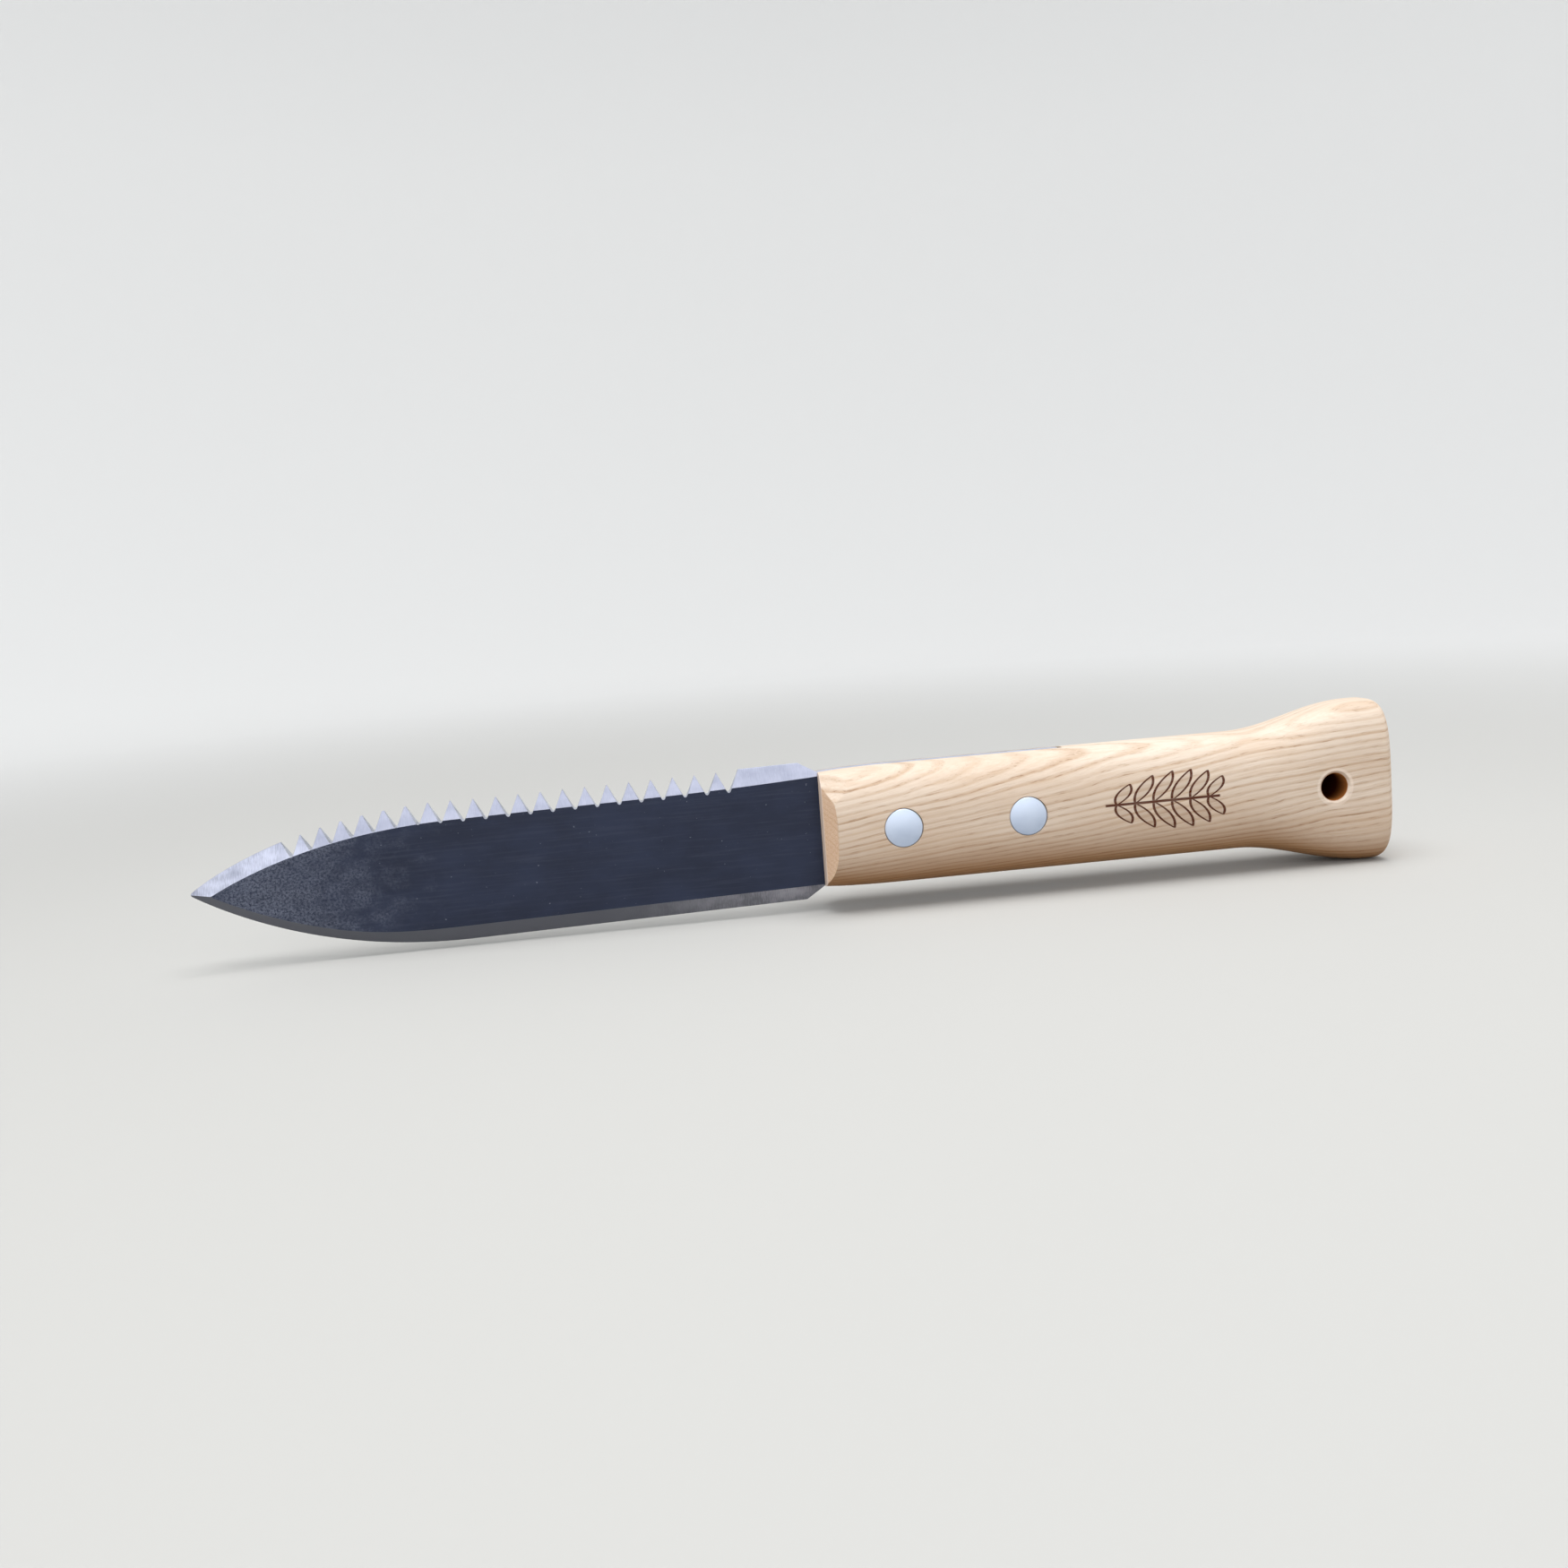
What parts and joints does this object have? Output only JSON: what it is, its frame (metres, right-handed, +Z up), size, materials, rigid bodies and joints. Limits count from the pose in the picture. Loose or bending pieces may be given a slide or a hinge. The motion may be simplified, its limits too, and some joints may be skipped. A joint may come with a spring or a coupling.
{
  "type": "hori hori knife",
  "caption": "Pointed digging knife with a bevelled blade, one saw-toothed edge, and a riveted wooden handle with a hang hole.",
  "frame": {"origin": "centre of the hang hole: on the hole's axis, on the handle's long axis and in the mid-plane of the blade", "axes": "+X along the handle towards the butt (the tip is at -X), +Z up through the saw-toothed edge, +Y along the hang hole, across the thickness, towards the side the picture doesn't show"},
  "size_m": [0.3122, 0.0234, 0.0434],
  "materials": {
    "blade_steel": "dark heat-treated flats with bright ground bevels",
    "handle_wood": "ash, sanded and oiled, semi-matt",
    "front_stem_metal": "satin",
    "front_tube_metal": "satin",
    "rear_stem_metal": "satin",
    "rear_tube_metal": "satin"
  },
  "bodies": {
    "root": {"blade": "blade_steel", "handle": "handle_wood", "front_rivet_stem": "front_stem_metal", "front_rivet_tube": "front_tube_metal", "rear_rivet_stem": "rear_stem_metal", "rear_rivet_tube": "rear_tube_metal"}
  },
  "joints": []
}
